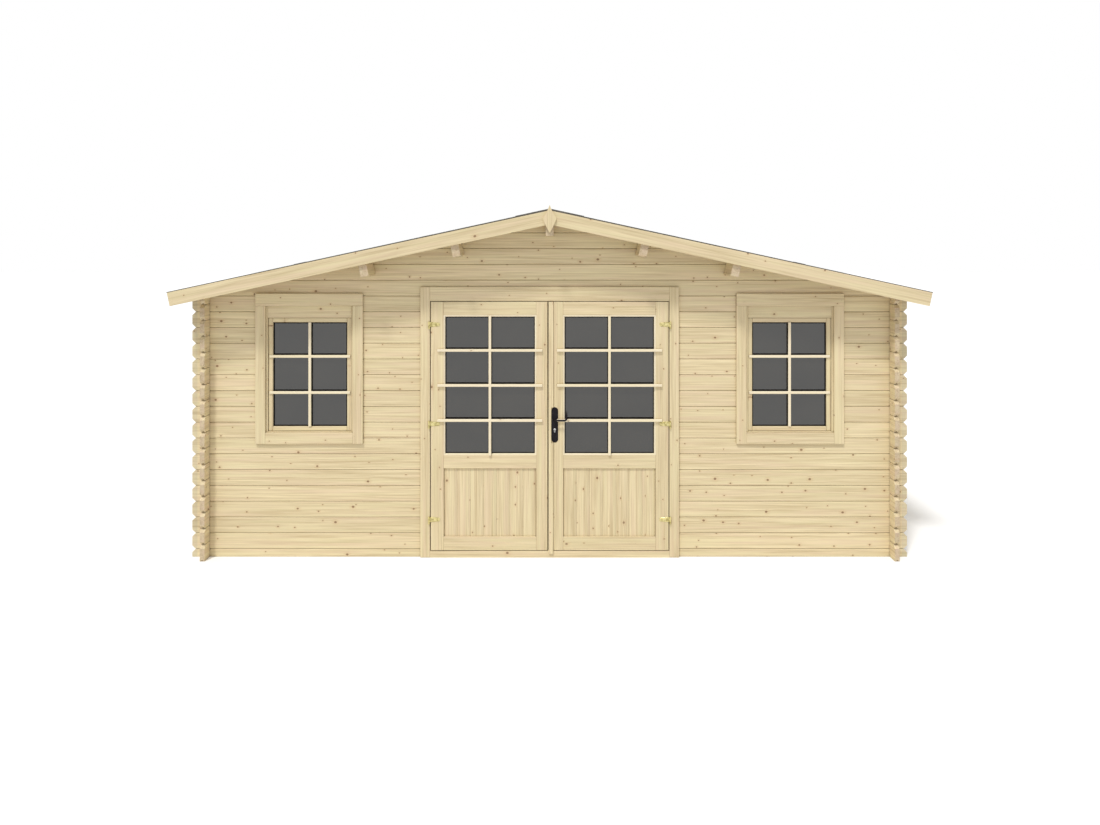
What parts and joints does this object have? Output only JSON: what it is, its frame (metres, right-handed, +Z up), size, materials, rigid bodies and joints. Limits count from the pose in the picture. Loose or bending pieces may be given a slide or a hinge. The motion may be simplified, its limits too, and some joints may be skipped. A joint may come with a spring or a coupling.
{
  "type": "garden log cabin",
  "caption": "Timber log cabin shed with a low gabled roof, notched log corners, a double half-glazed door that opens outwards and a fixed window on each side.",
  "frame": {"origin": "on the ground, under the middle of the roof", "axes": "+X to the right along the front wall, -Y out of the front with the doors, +Z up"},
  "size_m": [5.3612, 4.548, 2.5469],
  "materials": {
    "log_wood": "planed spruce logs, untreated",
    "trim_wood": "planed spruce trim boards",
    "door_wood": "planed spruce joinery",
    "roof_wood": "planed spruce roof boards and purlins",
    "floor_wood": "planed floor boards on sawn joists",
    "roof_felt": "mineral roofing felt",
    "pane_glass": "clear float glass",
    "brass_hinge": "yellow zinc-plated hinges",
    "lock_black": "black powder coat",
    "lock_steel": "satin nickel cylinder"
  },
  "bodies": {
    "cabin": {"left_wall": "log_wood", "right_wall": "log_wood", "front_wall_left": "log_wood", "front_wall_right": "log_wood", "front_gable": "log_wood", "back_wall": "log_wood", "ridge_purlin": "roof_wood", "left_purlins": "roof_wood", "right_purlins": "roof_wood", "roof_deck_left": "roof_wood", "roof_deck_right": "roof_wood", "roof_felt_left": "roof_felt", "roof_felt_right": "roof_felt", "eaves_board_left": "trim_wood", "eaves_board_right": "trim_wood", "barge_boards_front": "trim_wood", "barge_boards_back": "trim_wood", "ridge_finials": "trim_wood", "floor_joists": "floor_wood", "floor_boards": "floor_wood", "door_jambs": "door_wood", "door_head": "door_wood", "door_threshold": "door_wood", "door_trims": "trim_wood", "window_left_frame": "door_wood", "window_left_sash": "door_wood", "window_left_glass": "pane_glass", "window_left_trims": "trim_wood", "window_right_frame": "door_wood", "window_right_sash": "door_wood", "window_right_glass": "pane_glass", "window_right_trims": "trim_wood", "left_hinge_pins": "brass_hinge", "right_hinge_pins": "brass_hinge"},
    "left_leaf": {"left_leaf_frame": "door_wood", "left_leaf_glass": "pane_glass", "left_leaf_panel": "door_wood", "left_hinge_straps": "brass_hinge"},
    "right_leaf": {"right_leaf_frame": "door_wood", "right_leaf_glass": "pane_glass", "right_leaf_panel": "door_wood", "meeting_strip": "door_wood", "lock_plates": "lock_black", "lock_cylinder": "lock_steel", "right_hinge_straps": "brass_hinge"},
    "lever": {"door_lever": "lock_black"}
  },
  "joints": [
    {"name": "left_door", "type": "hinge", "parent": "cabin", "child": "left_leaf", "pos_m": [-0.8745, -2.033, 0.95], "axis": [0, 0, -1], "range_deg": [0, 170]},
    {"name": "right_door", "type": "hinge", "parent": "cabin", "child": "right_leaf", "pos_m": [0.8745, -2.033, 0.95], "axis": [0, 0, 1], "range_deg": [0, 170]},
    {"name": "door_handle", "type": "hinge", "parent": "right_leaf", "child": "lever", "pos_m": [0.0365, -2.005, 1.002], "axis": [0, 1, 0], "range_deg": [0, 40], "stiffness_Nm_per_rad": 1, "springref_deg": -28.65}
  ]
}
